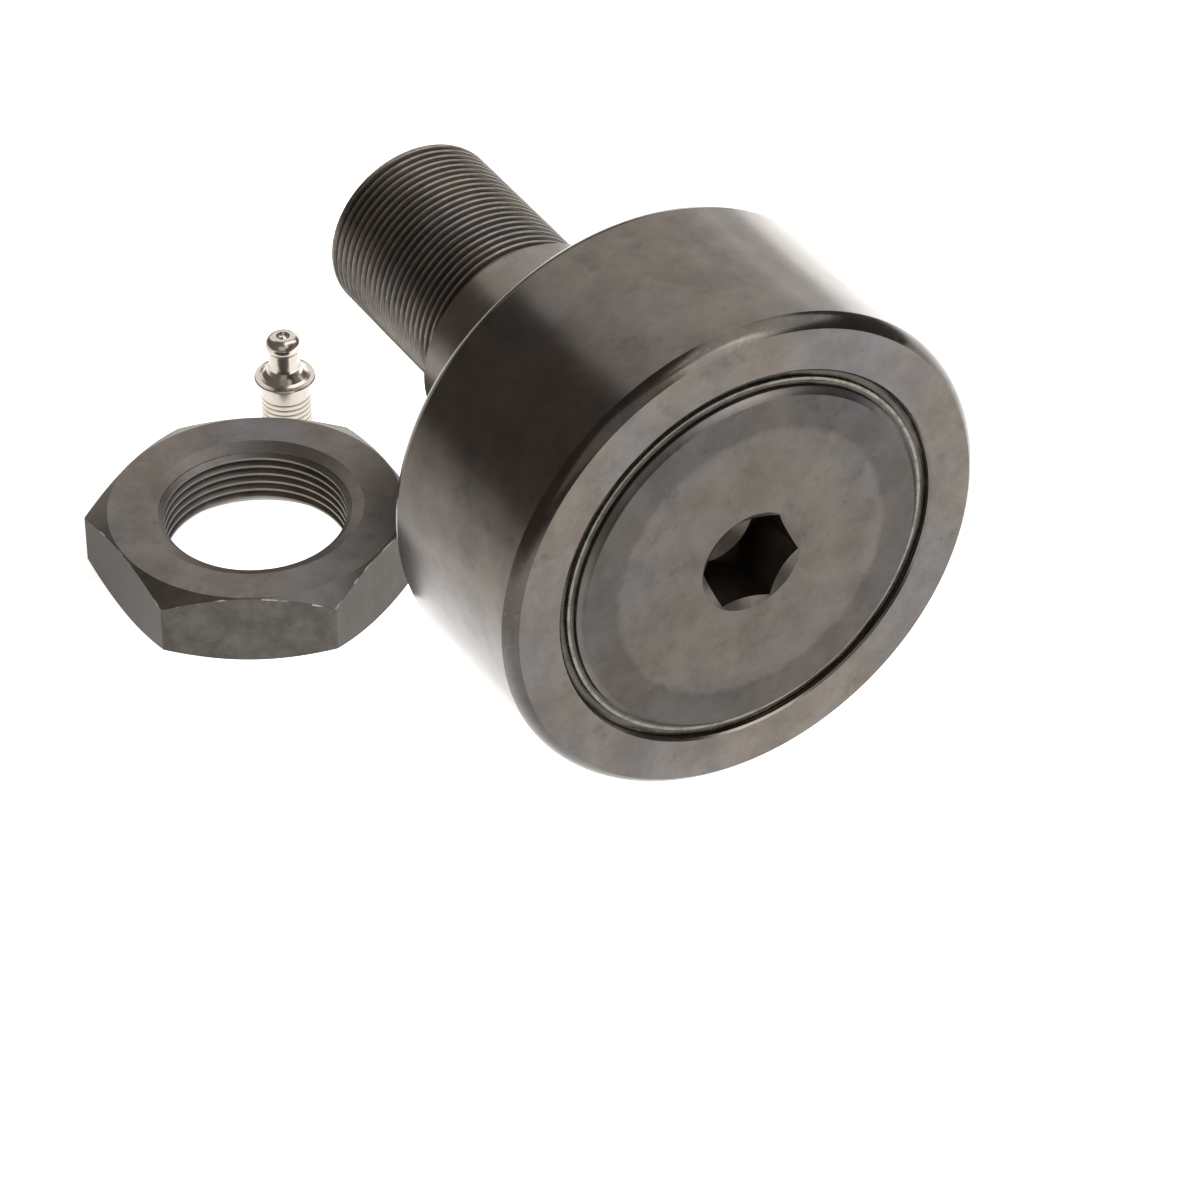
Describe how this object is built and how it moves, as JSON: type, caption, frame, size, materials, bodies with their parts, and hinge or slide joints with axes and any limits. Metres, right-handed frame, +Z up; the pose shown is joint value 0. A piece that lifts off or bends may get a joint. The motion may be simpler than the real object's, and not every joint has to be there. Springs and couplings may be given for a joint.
{
  "type": "stud-type needle cam follower",
  "caption": "Stud-type needle cam follower: sealed roller on a threaded stud with an eccentric bushing, plus a thin hexagon jam nut and a drive-in grease fitting laid beside it.",
  "frame": {"origin": "on the table, under the middle of the bounding box of the whole set", "axes": "+Z up; the stud's axis is parallel to X with the head towards +X; the nut's and the fitting's axes are parallel to Z"},
  "size_m": [0.1176, 0.1021, 0.08],
  "materials": {
    "oxide_head": "black oxide over ground steel, satin",
    "oxide_plain": "black oxide over turned steel, satin",
    "oxide_bushing": "black oxide over ground steel, satin",
    "oxide_roller": "black oxide over ground bearing steel, semi-gloss",
    "seal_steel": "pressed sheet steel",
    "seal_rubber": "nitrile rubber, greasy",
    "needle_steel": "lapped bearing steel",
    "oxide_nut": "black oxide over machined steel",
    "nickel": "bright nickel plate",
    "ball_steel": "polished steel",
    "spring_steel": "drawn spring wire"
  },
  "bodies": {
    "stud": {"stud": "oxide_head", "rear_end_plate": "oxide_plain", "eccentric_bushing": "oxide_bushing"},
    "roller": {"outer_ring": "oxide_roller", "front_seal_case": "seal_steel", "front_seal_lip": "seal_rubber", "rear_seal_case": "seal_steel", "rear_seal_lip": "seal_rubber"},
    "needles": {"needle_01": "needle_steel", "needle_02": "needle_steel", "needle_03": "needle_steel", "needle_04": "needle_steel", "needle_05": "needle_steel", "needle_06": "needle_steel", "needle_07": "needle_steel", "needle_08": "needle_steel", "needle_09": "needle_steel", "needle_10": "needle_steel", "needle_11": "needle_steel", "needle_12": "needle_steel", "needle_13": "needle_steel", "needle_14": "needle_steel", "needle_15": "needle_steel", "needle_16": "needle_steel", "needle_17": "needle_steel", "needle_18": "needle_steel", "needle_19": "needle_steel", "needle_20": "needle_steel", "needle_21": "needle_steel", "needle_22": "needle_steel", "needle_23": "needle_steel", "needle_24": "needle_steel", "needle_25": "needle_steel", "needle_26": "needle_steel", "needle_27": "needle_steel", "needle_28": "needle_steel", "needle_29": "needle_steel"},
    "jam_nut": {"jam_nut": "oxide_nut"},
    "grease_fitting": {"grease_fitting": "nickel", "ball_spring": "spring_steel"},
    "check_ball": {"check_ball": "ball_steel"}
  },
  "joints": [
    {"name": "roller_spin", "type": "hinge", "parent": "stud", "child": "roller", "pos_m": [0.0579, 0.0109, 0.04], "axis": [1, 0, 0], "continuous": true},
    {"name": "needle_orbit", "type": "hinge", "parent": "stud", "child": "needles", "pos_m": [0.0579, 0.0109, 0.04], "axis": [1, 0, 0], "continuous": true},
    {"name": "nut_pick_up", "type": "slide", "parent": "stud", "child": "jam_nut", "axis": [0, -0.6, 0.8], "range_m": [0, 0.06]},
    {"name": "fitting_pick_up", "type": "slide", "parent": "stud", "child": "grease_fitting", "axis": [0, 0, 1], "range_m": [0, 0.05]},
    {"name": "ball_press", "type": "slide", "parent": "grease_fitting", "child": "check_ball", "axis": [0, 0, -1], "range_m": [0, 0.0005], "stiffness_N_per_m": 300, "springref_m": -0.001, "deforming": ["ball_spring"]}
  ],
  "couplings": [
    {"joint": "needle_orbit", "follows": "roller_spin", "ratio": 0.554}
  ]
}
